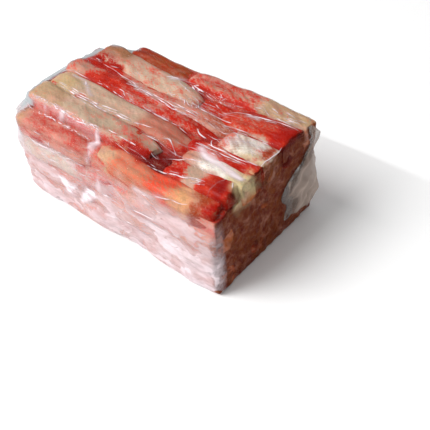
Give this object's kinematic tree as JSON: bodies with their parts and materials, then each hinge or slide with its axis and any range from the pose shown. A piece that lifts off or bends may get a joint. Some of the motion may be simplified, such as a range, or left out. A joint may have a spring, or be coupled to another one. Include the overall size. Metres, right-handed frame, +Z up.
{
  "type": "vacuum-packed hair crab claw meat",
  "caption": "Frozen block of peeled crab claw meat sticks in tight clear vacuum film, with a folded end seal.",
  "frame": {"origin": "middle of the base, on the surface the pack lies on", "axes": "+X along the meat sticks towards the end with the folded seal, +Y towards the back long side, +Z up"},
  "size_m": [0.1392, 0.08, 0.0583],
  "materials": {
    "film": "clear glossy vacuum film, milky where it stands off the meat",
    "meat": "moist frozen crab meat, red skin over cream fibres"
  },
  "bodies": {
    "root": {"pack": "film"}
  },
  "joints": []
}
